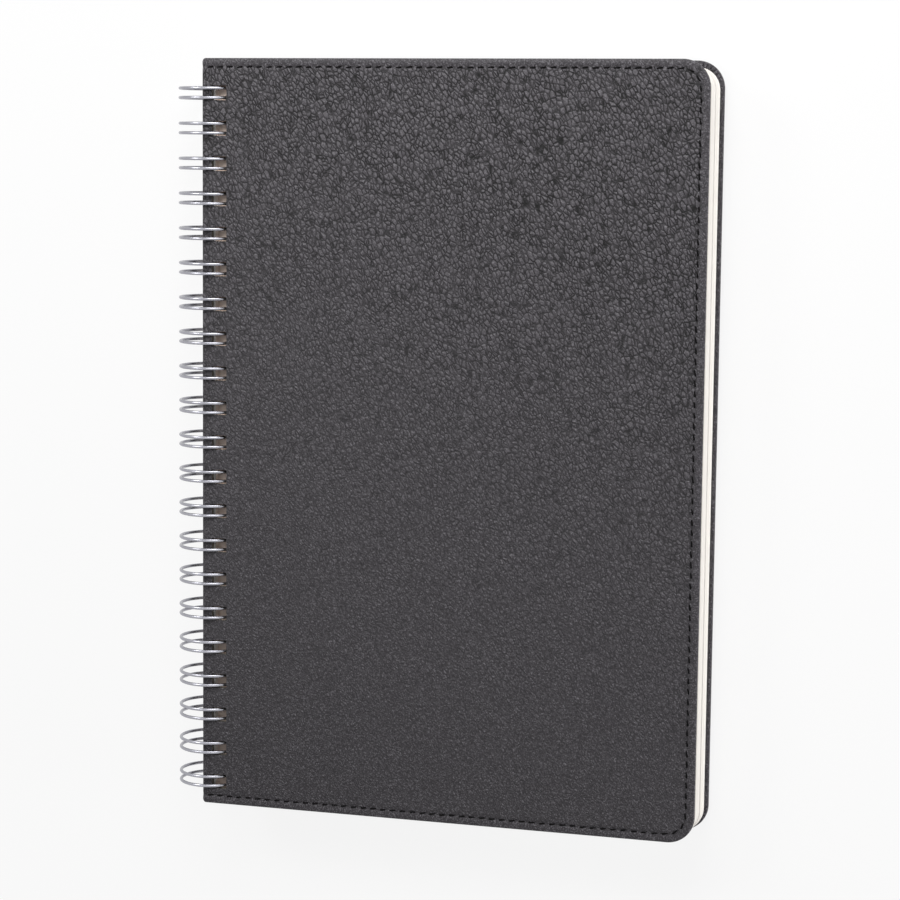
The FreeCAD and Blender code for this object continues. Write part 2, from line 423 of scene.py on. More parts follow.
@dataclass(frozen=True)
class SewingThread(Finish):
    """Bonded black thread: two plies twisted together, with a dull sheen."""

    name: str = "bonded_sewing_thread"
    ply_mm: float = 0.55
    twist_deg: float = 45.0
    bands_per_turn: float = 3.0
    unevenness: float = 0.6
    relief_mm: float = 0.05
    bump: float = 0.6
    thread_hex: str = "080708"
    sheen_hex: str = "151415"
    roughness: float = 0.75
    specular: float = 0.08

    def looks(self, tree: NodeTree, place: NodeSocket) -> dict[str, object]:
        """Black with the slant of the twist caught as thin paler bands.

        Args:
            tree: node tree of the material.
            place: object coordinates, in metres.

        Returns:
            What the shader is given.
        """
        # Bonded thread soaks up the light: nearly black, with just the slant of its plies to be seen.
        twist = (0.0, 0.0, math.radians(self.twist_deg))
        slant = add_node(tree, "ShaderNodeMapping", Vector=place, Rotation=twist).outputs["Vector"]
        scale = 1.0 / (self.ply_mm * MM) / math.tau * self.bands_per_turn
        bands = add_node(tree, "ShaderNodeTexWave", Vector=slant, Scale=scale, Distortion=self.unevenness)
        plies, black, sheen = bands.outputs["Fac"], linear(self.thread_hex), linear(self.sheen_hex)
        bump = add_node(tree, BUMP, Strength=self.bump, Distance=self.relief_mm * MM, Height=plies)
        return {
            "Base Color": add_node(tree, MIX, COLOURS, Factor=plies, A=black, B=sheen).outputs["Result"],
            "Normal": bump.outputs["Normal"],
            "Roughness": self.roughness,
            "Specular IOR Level": self.specular,
        }


@dataclass(frozen=True)
class BoardOrLining(Finish):
    """Flat sheet stock inside a cover: dense board, or the smooth dark lining sheet."""

    name: str
    base_hex: str
    fleck_hex: str
    fleck_mm: float
    roughness: float
    fleck_span: tuple[float, float] = (0.4, 0.7)
    tooth_mm: float = 0.05
    bump: float = 0.35

    def looks(self, tree: NodeTree, place: NodeSocket) -> dict[str, object]:
        """Pressed fibres as fine flecks, with a slight tooth.

        Args:
            tree: node tree of the material.
            place: object coordinates, in metres.

        Returns:
            What the shader is given.
        """
        # Pressed pulp and smooth paper are matt and even, with flecks that show only from near.
        scale = 1.0 / (self.fleck_mm * MM)
        fleck = add_node(tree, NOISE, Vector=place, Scale=scale, Detail=4.0).outputs["Fac"]
        low, high = self.fleck_span
        share = add_node(tree, MAP_RANGE, Value=fleck, From_Min=low, From_Max=high).outputs["Result"]
        base, pale = linear(self.base_hex), linear(self.fleck_hex)
        bump = add_node(tree, BUMP, Strength=self.bump, Distance=self.tooth_mm * MM, Height=fleck)
        return {
            "Base Color": add_node(tree, MIX, COLOURS, Factor=share, A=base, B=pale).outputs["Result"],
            "Normal": bump.outputs["Normal"],
            "Roughness": self.roughness,
        }


def dress(node: str, material: Material) -> None:
    """Gives a solid of the frame its finish.

    Args:
        node: the solid's name.
        material: what it is made of.
    """
    mesh = frame["nodes"][node].data
    mesh.materials.clear()
    mesh.materials.append(material)


class CoverSide(Enum):
    """Front cover, with its grained face up, or back cover, with it down."""

    FRONT = "front_cover"
    BACK = "back_cover"


def solid_object(bm: BMesh, name: str, unit: float = MM) -> Object:
    """Object at the origin made from a finished bmesh, which is freed.

    Args:
        bm: the shape.
        name: name of the object and of its mesh.
        unit: what the shape is measured in, as a share of a metre.

    Returns:
        The object, linked to the scene.
    """
    bmesh.ops.scale(bm, verts=bm.verts[:], vec=(unit, unit, unit))
    bmesh.ops.recalc_face_normals(bm, faces=bm.faces[:])
    mesh = bpy.data.meshes.new(name)
    bm.to_mesh(mesh)
    bm.free()
    return place_object(name, mesh)


def cut_away(piece: Object, cutter: Object) -> None:
    """Cuts one solid out of another for good and deletes the cutter.

    Args:
        piece: what is cut.
        cutter: the space to clear.
    """
    modifier = piece.modifiers.new("cut", "BOOLEAN")
    modifier.operation = "DIFFERENCE"
    modifier.solver = "EXACT"
    modifier.object = cutter
    evaluated = piece.evaluated_get(bpy.context.evaluated_depsgraph_get())
    mesh = bpy.data.meshes.new_from_object(evaluated)
    piece.modifiers.clear()
    old = piece.data
    piece.data = mesh
    mesh.name = old.name
    bpy.data.meshes.remove(old)
    spare = cutter.data
    bpy.data.objects.remove(cutter)
    bpy.data.meshes.remove(spare)


def finish_piece(piece: Object, material: Material, node: str, crease_deg: float = 35.0) -> None:
    """Smooths a piece between its creases, dresses it and puts it in its solid's place.

    Args:
        piece: the finished shape.
        material: its finish, unless its mesh already has its own.
        node: the solid that it stands for, whose body it rides on.
        crease_deg: angle past which an edge stays sharp.
    """
    mesh = piece.data
    mesh.shade_smooth()
    mesh.set_sharp_from_angle(angle=math.radians(crease_deg))
    if not mesh.materials:
        mesh.materials.append(material)
    for body, members in frame["record"]["behaviour"]["bodies"].items():
        if node in members:
            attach(piece, body)
    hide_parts(node)
    log.info("%s: %d faces", piece.name, len(mesh.polygons))


def rounded_plate(
    bm: BMesh, low: Vector, high: Vector, z: float, radii: tuple[float, float], corner_steps: int
) -> BMFace:
    """Flat face with small corners at the spine and large ones at the fore-edge.

    Args:
        bm: what the face is added to.
        low: lowest X and Y.
        high: highest X and Y.
        z: height of the face.
        radii: radius of the two corners at low X, and of the two at high X; 0 for a sharp one.
        corner_steps: edges in each corner at high X.

    Returns:
        The face.
    """
    start = bmesh.ops.create_grid(bm, x_segments=1, y_segments=1, size=0.5)["verts"]
    middle = Vector(((low.x + high.x) / 2.0, (low.y + high.y) / 2.0, z))
    bmesh.ops.scale(bm, verts=start, vec=(high.x - low.x, high.y - low.y, 1.0))
    bmesh.ops.translate(bm, verts=start, vec=middle)
    face = start[0].link_faces[0]
    for radius, steps, at_fore in ((radii[1], corner_steps, True), (radii[0], SMALL_CORNER_STEPS, False)):
        if radius > 0.0:
            corners = [v for v in face.verts if (v.co.x > middle.x) == at_fore]
            made = bmesh.ops.bevel(
                bm,
                geom=corners,
                offset=radius,
                offset_type="OFFSET",
                affect="VERTICES",
                segments=steps,
                profile=0.5,
                material=-1,
            )
            face = made["verts"][0].link_faces[0]
    return face


def raised_plate(
    bm: BMesh,
    low: Vector,
    high: Vector,
    span: tuple[float, float],
    radii: tuple[float, float],
    corner_steps: int,
) -> None:
    """Upright solid over such a face.

    Args:
        bm: what the solid is added to.
        low: lowest X and Y.
        high: highest X and Y.
        span: where it starts and ends in height.
        radii: radius of its upright edges at low X and at high X.
        corner_steps: edges in each corner at high X.
    """
    face = rounded_plate(bm, low, high, span[0], radii, corner_steps)
    made = bmesh.ops.extrude_face_region(bm, geom=[face])
    lifted = [g for g in made["geom"] if isinstance(g, BMVert)]
    bmesh.ops.translate(bm, verts=lifted, vec=(0.0, 0.0, span[1] - span[0]))


@dataclass
class Cover:
    """One cover: leather turned round a board, lined inside and sewn along its three open sides."""

    side: CoverSide
    leather: Material
    thread: Material
    board: Material
    lining: Material
    fore_radius: float = 7.5
    spine_radius: float = 0.9
    spine_ease: float = 0.06
    spine_flat: float = 0.2
    edge_radius: float = 0.55
    edge_steps: int = 4
    leather_thickness: float = 0.3
    turn_in: float = 12.0
    board_slack: tuple[float, float, float] = (0.02, 0.02, 0.005)
    lining_slack: float = 0.1
    hole_growth: float = 0.04
    cut_reach: float = 1.0
    cut_corner_steps: int = 16
    stitch_inset: float = 2.4
    stitch_pitch: float = 2.85
    stitch_start: float = 1.0
    stitch_length: float = 1.9
    stitch_lean: float = 8.0
    stitch_cuts: tuple[float, ...] = (-0.72, -0.35, 0.0, 0.35, 0.72)
    stitch_dive: float = 0.26
    points_per_stitch: float = 4.0
    thread_radius: float = 0.28
    thread_taper: float = 0.2
    thread_pinch: float = 0.45
    thread_flatness: float = 0.75
    thread_sink: float = 0.03
    stray_across: float = 0.07
    stray_along: float = 0.06
    stray_deg: float = 4.5
    stray_stretch: tuple[float, float] = (0.94, 1.05)
    seam_depth: float = 0.2
    seam_half_width: float = 0.42
    groove_share: float = 0.55
    needle_share: float = 0.45
    crown: float = 0.09
    crown_offset: float = 1.2
    crown_half_width: float = 0.6
    corner_steps: int = 54
    pleats: int = 9
    pleat_depth: float = 0.24
    pleat_swell: float = 0.1
    pleat_fold: float = 0.13
    pleat_start: float = 0.4
    pleat_fade: tuple[float, float] = (2.0, 5.0)
    rings: tuple[float, ...] = (0.8, 1.15, 1.5, 1.8, 2.0, 2.2, 2.4, 2.6, 2.8, 3.0, 3.3, 3.7, 4.3)
    seed: int = 11

    def __post_init__(self) -> None:
        """Reads the cover's place from its solids and works out the seam."""
        name = self.side.value
        self.low, self.high = (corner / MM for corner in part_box(name + "_leather"))
        self.board_low, self.board_high = (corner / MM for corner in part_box(name + "_board"))
        self.seam_radius = self.fore_radius - self.stitch_inset
        self.x_start = self.low.x + self.stitch_start
        self.x_turn = self.high.x - self.fore_radius
        self.y_turn = self.high.y - self.fore_radius
        self.top_run = self.x_turn - self.x_start
        self.corner_run = self.seam_radius * math.pi / 2.0
        self.seam_total = 2.0 * (self.top_run + self.corner_run + self.y_turn)
        self.stitch_count = int(self.seam_total / self.stitch_pitch)
        self.pitch = self.seam_total / self.stitch_count

    def seam_point(self, distance: float) -> Vector:
        """Point of the seam.

        Args:
            distance: from the seam's start at the head, in millimetres.

        Returns:
            Its X and Y in millimetres, at Z = 0.
        """
        half = self.seam_total / 2.0
        mirror = 1.0
        if distance > half:
            distance, mirror = self.seam_total - distance, -1.0
        if distance <= self.top_run:
            return Vector((self.x_start + distance, mirror * (self.y_turn + self.seam_radius), 0.0))
        distance -= self.top_run
        if distance <= self.corner_run:
            turn = distance / self.seam_radius
            x = self.x_turn + self.seam_radius * math.sin(turn)
            return Vector((x, mirror * (self.y_turn + self.seam_radius * math.cos(turn)), 0.0))
        distance -= self.corner_run
        return Vector((self.x_turn + self.seam_radius, mirror * (self.y_turn - distance), 0.0))

    def seam_place(self, x: float, y: float) -> tuple[float, float]:
        """Place of a point of the cover against the seam.

        Args:
            x: the point's X in millimetres.
            y: its Y.

        Returns:
            How far it lies outside the seam line, and how far along the seam.
        """
        over = abs(y) - self.y_turn
        if x <= self.x_turn:
            offset, along = over - self.seam_radius, x - self.x_start
        elif over <= 0.0:
            offset = x - self.x_turn - self.seam_radius
            along = self.top_run + self.corner_run + self.y_turn - abs(y)
        else:
            reach = math.hypot(x - self.x_turn, over)
            offset = reach - self.seam_radius
            along = self.top_run + math.atan2(x - self.x_turn, over) * self.seam_radius
        return offset, along if y > 0.0 else self.seam_total - along

    def surface(self, x: float, y: float, inset: float) -> float:
        """Height of the leather over the flat of its face: crowned margin, sunken seam, needle holes.

        Args:
            x: a point's X in millimetres.
            y: its Y.
            inset: its distance from the cover's outline.

        Returns:
            The height, in millimetres.
        """
        offset, along = self.seam_place(x, y)
        sink = self.seam_depth * math.exp(-((offset / self.seam_half_width) ** 2))
        needle = math.cos(math.pi * along / self.pitch) ** 2
        swell = self.crown * math.exp(-(((offset - self.crown_offset) / self.crown_half_width) ** 2))
        margin = swell if inset > self.edge_radius else 0.0
        return margin - sink * (self.groove_share + self.needle_share * needle)

    def pleat(self, x: float, y: float, inset: float) -> float:
        """Height of the gathers where the turned-in leather is drawn round a fore corner.

        Args:
            x: a point's X in millimetres.
            y: its Y.
            inset: its distance from the cover's outline.

        Returns:
            The height, in millimetres; below 0 in a fold.
        """
        over = abs(y) - self.y_turn
        if x <= self.x_turn or over <= 0.0:
            return 0.0
        turn = math.atan2(x - self.x_turn, over) / (math.pi / 2.0)
        share = (turn * self.pleats + 0.5) % 1.0
        fold = math.exp(-((min(share, 1.0 - share) / self.pleat_fold) ** 2))
        start, run = self.pleat_fade
        fade = min(1.0, inset / self.pleat_start) * max(0.0, 1.0 - max(0.0, inset - start) / run)
        return fade * (self.pleat_swell * math.sin(math.pi * share) - self.pleat_depth * fold)

    def shape_side(self, bm: BMesh, face: BMFace, sign: float, inner: bool) -> None:
        """Draws one face of the cover in from its outline, ring by ring.

        Args:
            bm: the cover's shape.
            face: the flat face that is drawn in.
            sign: 1 for the face that looks up, -1 for the one that looks down.
            inner: whether it is the face with the turned-in leather.
        """
        flat = self.high.z if sign > 0.0 else self.low.z
        curve = [math.radians(90.0 * n / self.edge_steps) for n in range(self.edge_steps + 1)]
        radius = self.edge_radius
        profile = [(radius * (1.0 - math.cos(a)), radius * (1.0 - math.sin(a))) for a in curve]
        profile += [(inset, 0.0) for inset in self.rings]
        inset_now = 0.0
        for inset, drop in profile:
            if inset > inset_now:
                bmesh.ops.inset_region(
                    bm, faces=[face], thickness=inset - inset_now, use_even_offset=True, use_boundary=True
                )
            inset_now = inset
            for v in face.verts:
                lift = self.surface(v.co.x, v.co.y, inset) if inset >= self.edge_radius else 0.0
                if inner:
                    lift += self.pleat(v.co.x, v.co.y, inset)
                v.co.z = flat + sign * (lift - drop)

    def skin(self) -> Object:
        """The leather with both of its faces, before it is hollowed for the board."""
        bm = bmesh.new()
        outer_low = Vector((self.low.x - self.fore_radius, self.low.y, 0.0))
        radii = (0.0, self.fore_radius)
        face = rounded_plate(bm, outer_low, self.high, self.low.z, radii, self.corner_steps)
        spacing = self.pitch / self.points_per_stitch
        for edge in list(face.edges):
            length = edge.calc_length()
            if length > 2.0 * spacing and (edge.verts[0].co + edge.verts[1].co).x / 2.0 > self.low.x:
                bmesh.ops.subdivide_edges(bm, edges=[edge], cuts=int(length / spacing) - 1)
        bm.faces.ensure_lookup_table()
        face = bm.faces[0]
        made = bmesh.ops.extrude_face_region(bm, geom=[face])
        top = next(g for g in made["geom"] if isinstance(g, BMFace))
        bmesh.ops.translate(bm, verts=top.verts[:], vec=(0.0, 0.0, self.high.z - self.low.z))
        bottom = next(f for f in bm.faces if len(f.verts) > 4 and f is not top)
        self.shape_side(bm, top, 1.0, self.side is CoverSide.BACK)
        self.shape_side(bm, bottom, -1.0, self.side is CoverSide.FRONT)
        self.round_spine(bm)
        return solid_object(bm, self.side.value + "_skin")

    def round_spine(self, bm: BMesh) -> None:
        """Cuts the cover off at the spine and turns the leather over that edge.

        Args:
            bm: the cover's shape, which still runs past the spine.
        """
        radius = self.spine_radius
        bmesh.ops.bisect_plane(
            bm,
            geom=bm.verts[:] + bm.edges[:] + bm.faces[:],
            plane_co=(self.low.x + radius, 0.0, 0.0),
            plane_no=(-1.0, 0.0, 0.0),
            clear_outer=True,
        )
        rim = [e for e in bm.edges if e.is_boundary]
        middle_z = (self.low.z + self.high.z) / 2.0
        rest = {v: v.co.copy() for e in rim for v in e.verts}
        for n in range(1, self.edge_steps + 1):
            turn = math.pi / 2.0 * n / self.edge_steps
            made = bmesh.ops.extrude_edge_only(bm, edges=rim)["geom"]
            moved = [g for g in made if isinstance(g, BMVert)]
            starts = {}
            for v in moved:
                ends = (e.other_vert(v) for e in v.link_edges)
                starts[v] = rest[next(end for end in ends if end in rest and end not in moved)]
            for v, start in starts.items():
                thin = min(1.0, abs(start.z - middle_z) / self.spine_flat)
                z_in = self.edge_radius * (1.0 - math.cos(turn)) * thin
                at_end = abs(start.y) > self.high.y - self.edge_radius
                y_in = radius * (1.0 - math.cos(turn)) if at_end else 0.0
                v.co.x = self.low.x + radius * (1.0 - math.sin(turn))
                v.co.y = start.y - math.copysign(y_in, start.y)
                v.co.z = start.z - math.copysign(z_in, start.z - middle_z)
            rest = starts
            rim = [g for g in made if isinstance(g, BMEdge) and g.is_boundary]
        bmesh.ops.contextual_create(bm, geom=rim)

    def space(self, low: Vector, high: Vector, fore_radius: float, name: str) -> Object:
        """Cutter between two corners given in millimetres, rounded as the sheet that lies in it.

        Args:
            low: lowest corner.
            high: highest corner.
            fore_radius: radius of its corners at the fore-edge, or 0.
            name: the cutter's name.

        Returns:
            The cutter.
        """
        bm = bmesh.new()
        raised_plate(bm, low, high, (low.z, high.z), (0.0, fore_radius), self.cut_corner_steps)
        return solid_object(bm, name)

    def build_leather(self, holes: "Punches") -> None:
        """Hollows the skin for the board and the lining, punches it and dresses it.

        Args:
            holes: the row of punched holes.
        """
        piece = self.skin()
        piece.name = self.side.value + "_covering"
        slack = Vector(self.board_slack)
        low, high = self.board_low - slack, self.board_high + slack
        cut_away(piece, self.space(low, high, self.fore_radius - self.leather_thickness, "board_space"))
        low = Vector((self.low.x + self.turn_in, self.low.y + self.turn_in, 0.0))
        high = Vector((self.high.x - self.turn_in, self.high.y - self.turn_in, 0.0))
        if self.side is CoverSide.FRONT:
            low.z = self.low.z - self.cut_reach
            high.z = self.low.z + self.leather_thickness + self.lining_slack
        else:
            low.z = self.high.z - self.leather_thickness - self.lining_slack
            high.z = self.high.z + self.cut_reach
        cut_away(piece, self.space(low, high, 0.0, "lining_space"))
        reach = (self.low.z - self.cut_reach, self.high.z + self.cut_reach)
        cut_away(piece, holes.cutter(reach, self.hole_growth))
        spine_edge = (self.low.x + self.spine_ease) * MM
        for v in piece.data.vertices:
            v.co.x = max(v.co.x, spine_edge)
        finish_piece(piece, self.leather, self.side.value + "_leather")

    def stitch(self, bm: BMesh) -> None:
        """One thread between two needle holes: it rises over the leather and dives at both ends.

        Args:
            bm: empty shape that the thread goes into, along X and about the origin.
        """
        half = self.stitch_length / 2.0
        bmesh.ops.create_cone(
            bm,
            cap_ends=True,
            segments=6,
            radius1=self.thread_radius,
            radius2=self.thread_radius,
            depth=self.stitch_length,
            matrix=Matrix.Rotation(math.pi / 2.0, 4, "Y"),
        )
        for share in self.stitch_cuts:
            geom = bm.verts[:] + bm.edges[:] + bm.faces[:]
            bmesh.ops.bisect_plane(bm, geom=geom, plane_co=(share * half, 0, 0), plane_no=(1, 0, 0))
        for v in bm.verts:
            share = v.co.x / half
            taper = 1.0 - self.thread_taper + self.thread_taper * share
            slim = taper * (1.0 - self.thread_pinch * share ** 6)
            v.co.y *= slim
            v.co.z = v.co.z * slim * self.thread_flatness - self.stitch_dive * share ** 6

    def build_thread(self) -> None:
        """Sews both faces: every thread a little out of line, as on the real seam."""
        template = bmesh.new()
        self.stitch(template)
        shape = bpy.data.meshes.new("stitch")
        template.to_mesh(shape)
        template.free()
        draw = random.Random(self.seed)
        across, along, swing = self.stray_across, self.stray_along, self.stray_deg
        bm = bmesh.new()
        for face_sign, flat in ((1.0, self.high.z), (-1.0, self.low.z)):
            flip = Matrix.Diagonal((1.0, 1.0, face_sign, 1.0))
            for n in range(self.stitch_count):
                start, end = self.seam_point(n * self.pitch), self.seam_point((n + 1) * self.pitch)
                run = (end - start).normalized()
                middle = (start + end) / 2.0
                middle.z = flat - face_sign * self.thread_sink
                side = Vector((-run.y, run.x, 0.0))
                middle += side * draw.uniform(-across, across) + run * draw.uniform(-along, along)
                lean = math.radians(self.stitch_lean + draw.uniform(-swing, swing))
                turn = Matrix.Rotation(math.atan2(run.y, run.x) + lean, 4, "Z")
                stretch = Matrix.Diagonal((draw.uniform(*self.stray_stretch), 1.0, 1.0, 1.0))
                copy = shape.copy()
                copy.transform(Matrix.Scale(MM, 4) @ Matrix.Translation(middle) @ turn @ flip @ stretch)
                bm.from_mesh(copy)
                bpy.data.meshes.remove(copy)
        bpy.data.meshes.remove(shape)
        piece = solid_object(bm, self.side.value + "_seam", unit=1.0)
        finish_piece(piece, self.thread, self.side.value + "_stitching", crease_deg=80.0)

    def build(self, holes: "Punches") -> None:
        """Makes the leather and the seam, and dresses the board and the lining.

        Args:
            holes: the row of punched holes.
        """
        self.build_leather(holes)
        self.build_thread()
        dress(self.side.value + "_board", self.board)
        dress(self.side.value + "_lining", self.lining)


@dataclass
class Punches:
    """The row of square holes that the wire passes through in each cover."""

    first_from_top: float = 9.5
    pitch: float = 9.7
    end_margin: float = 5.0
    wire_diameter: float = 0.9
    pair_spacing: float = 2.64
    clearance: float = 0.22
    loop_rise: float = 0.57
    cover_thickness: float = 1.6
    corner_radius: float = 0.3

    def __post_init__(self) -> None:
        """Works out the loops' centre line and radius from the notebook's solids."""
        low, high = (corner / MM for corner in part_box("front_cover_leather"))
        back_low, _ = (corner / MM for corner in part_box("back_cover_leather"))
        self.spine_x = low.x
        self.half_thickness = (high.z - back_low.z) / 2.0
        self.ring_z = (high.z + back_low.z) / 2.0
        self.ring_radius = self.half_thickness + self.loop_rise + self.wire_diameter / 2.0
        count = int((high.y - low.y - self.first_from_top - self.end_margin) / self.pitch) + 1
        self.heights = [high.y - self.first_from_top - self.pitch * n for n in range(count)]

    def reach(self, z: float, radius: float) -> float:
        """Where the right half of a loop passes a height.

        Args:
            z: the height, in millimetres.
            radius: the loop's radius.

        Returns:
            The X of that point.
        """
        return self.spine_x + math.sqrt(radius ** 2 - (z - self.ring_z) ** 2)

    def cutter(self, span: tuple[float, float], growth: float) -> Object:
        """All the holes of one cover as one cutter.

        Args:
            span: where the cutter starts and ends in height.
            growth: how much larger each hole is on every side.

        Returns:
            The cutter.
        """
        wire_radius = self.wire_diameter / 2.0
        top = self.ring_z + self.half_thickness
        x0 = self.reach(top, self.ring_radius - wire_radius) - self.clearance - growth
        x1 = self.reach(top - self.cover_thickness, self.ring_radius + wire_radius) + self.clearance + growth
        half = (self.pair_spacing + self.wire_diameter) / 2.0 + self.clearance + growth
        radius = self.corner_radius + growth
        bm = bmesh.new()
        for y in self.heights:
            low, high = Vector((x0, y - half, 0.0)), Vector((x1, y + half, 0.0))
            raised_plate(bm, low, high, span, (radius, radius), SMALL_CORNER_STEPS)
        return solid_object(bm, "hole_cutter")


@dataclass
class Binding:
    """The wire: double loops joined at their feet by short straights along the spine."""

    holes: Punches
    wire: Material
    bend_radius: float = 0.7
    tip_gap: float = 0.3
    stub_length: float = 1.2
    seam_clearance: float = 0.175
    weld_distance: float = 0.001
    sides: int = 12
    loop_steps: int = 54
    tip_steps: int = 10
    bend_steps: int = 5

    def build(self) -> None:
        """Bends one loop with half a straight at each foot, and repeats it down the spine."""
        holes = self.holes
        self.centre = Vector((holes.spine_x, 0.0, holes.ring_z))
        seam_z = holes.ring_z - holes.half_thickness + holes.cover_thickness
        seam_z += (holes.wire_diameter + 2.0 * self.seam_clearance) / 2.0
        seam_angle = math.asin((seam_z - holes.ring_z) / holes.ring_radius)
        self.base_angle = seam_angle + self.bend_radius / holes.ring_radius
        self.tip_angle = seam_angle + math.tau - (self.tip_gap + holes.pair_spacing / 2.0) / holes.ring_radius
        half_run = holes.pitch / 2.0 - holes.pair_spacing / 2.0 - self.bend_radius
        last = len(holes.heights) - 1
        bm = bmesh.new()
        for n, y in enumerate(holes.heights):
            upper = half_run if n > 0 else self.stub_length
            lower = half_run if n < last else self.stub_length
            loop = self.loop(upper, lower, n == 0, n == last)
            loop.transform(Matrix.Translation(Vector((0.0, y, 0.0))))
            bm.from_mesh(loop)
            bpy.data.meshes.remove(loop)
        bmesh.ops.remove_doubles(bm, verts=bm.verts[:], dist=self.weld_distance)
        finish_piece(solid_object(bm, "binding_wire"), self.wire, "wire_binding", crease_deg=60.0)

    def loop(self, upper: float, lower: float, starts: bool, ends: bool) -> Mesh:
        """One double loop about Y = 0.

        Args:
            upper: straight length above its upper foot.
            lower: straight length below its lower foot.
            starts: whether the wire begins here, with a closed end.
            ends: whether the wire ends here.

        Returns:
            The loop's mesh, in millimetres.
        """
        half_pair = self.holes.pair_spacing / 2.0
        bm = bmesh.new()
        corner = self.point(self.base_angle, half_pair + self.bend_radius)
        travel = Vector((-math.sin(self.base_angle), 0.0, math.cos(self.base_angle)))
        start = corner - travel * self.bend_radius + Vector((0.0, upper, 0.0))
        circle = bmesh.ops.create_circle(
            bm,
            cap_ends=starts,
            segments=self.sides,
            radius=self.holes.wire_diameter / 2.0,
            matrix=Matrix.Translation(start) @ Matrix.Rotation(math.pi / 2.0, 4, "X"),
        )
        ring = list({e for v in circle["verts"] for e in v.link_edges})
        ring = self.run(bm, ring, Vector((0.0, -upper, 0.0)))
        ring = self.base_bend(bm, ring, half_pair + self.bend_radius)
        sweep = self.tip_angle - self.base_angle
        ring = self.turn(bm, ring, self.centre, Vector((0.0, -1.0, 0.0)), sweep, self.loop_steps)
        tip = self.point(self.tip_angle, 0.0)
        ring = self.turn(bm, ring, tip, (tip - self.centre).normalized(), -math.pi, self.tip_steps)
        ring = self.turn(bm, ring, self.centre, Vector((0.0, 1.0, 0.0)), sweep, self.loop_steps)
        ring = self.base_bend(bm, ring, -half_pair - self.bend_radius)
        ring = self.run(bm, ring, Vector((0.0, -lower, 0.0)))
        if ends:
            bmesh.ops.contextual_create(bm, geom=ring)
        mesh = bpy.data.meshes.new("loop")
        bm.to_mesh(mesh)
        bm.free()
        return mesh

    def point(self, angle: float, y: float) -> Vector:
        """Point on the wire's line.

        Args:
            angle: round the loop, from the fore-edge side upwards.
            y: along the spine, in millimetres.

        Returns:
            The point, in millimetres.
        """
        radius = self.holes.ring_radius
        return Vector((self.centre.x + radius * math.cos(angle), y, self.centre.z + radius * math.sin(angle)))

    @staticmethod
    def run(bm: BMesh, ring: list[BMEdge], way: Vector) -> list[BMEdge]:
        """Draws the tube straight on.

        Args:
            bm: the loop's shape.
            ring: edges round the tube's end.
            way: how far it goes.

        Returns:
            The edges round its new end.
        """
        made = bmesh.ops.extrude_edge_only(bm, edges=ring)["geom"]
        fresh = {g for g in made if isinstance(g, BMVert)}
        bmesh.ops.translate(bm, verts=list(fresh), vec=way)
        return [e for e in {e for v in fresh for e in v.link_edges} if fresh.issuperset(e.verts)]

    @staticmethod
    def turn(
        bm: BMesh, ring: list[BMEdge], centre: Vector, axis: Vector, angle: float, steps: int
    ) -> list[BMEdge]:
        """Bends the tube about an axis.

        Args:
            bm: the loop's shape.
            ring: edges round the tube's end.
            centre: point on the axis.
            axis: its direction.
            angle: how far the tube is bent.
            steps: rings in the bend.

        Returns:
            The edges round its new end.
        """
        geom = ring + list({v for e in ring for v in e.verts})
        made = bmesh.ops.spin(
            bm, geom=geom, cent=centre, axis=axis, angle=angle, steps=steps, use_merge=False
        )
        return [g for g in made["geom_last"] if isinstance(g, BMEdge)]

    def base_bend(self, bm: BMesh, ring: list[BMEdge], y: float) -> list[BMEdge]:
        """Quarter bend between a foot of the loop and a straight along the spine.

        Args:
            bm: the loop's shape.
            ring: edges round the tube's end.
            y: the bend's middle along the spine.

        Returns:
            The edges round its new end.
        """
        centre = self.point(self.base_angle, y)
        outward = (self.point(self.base_angle, 0.0) - self.centre).normalized()
        return self.turn(bm, ring, centre, outward, -math.pi / 2.0, self.bend_steps)


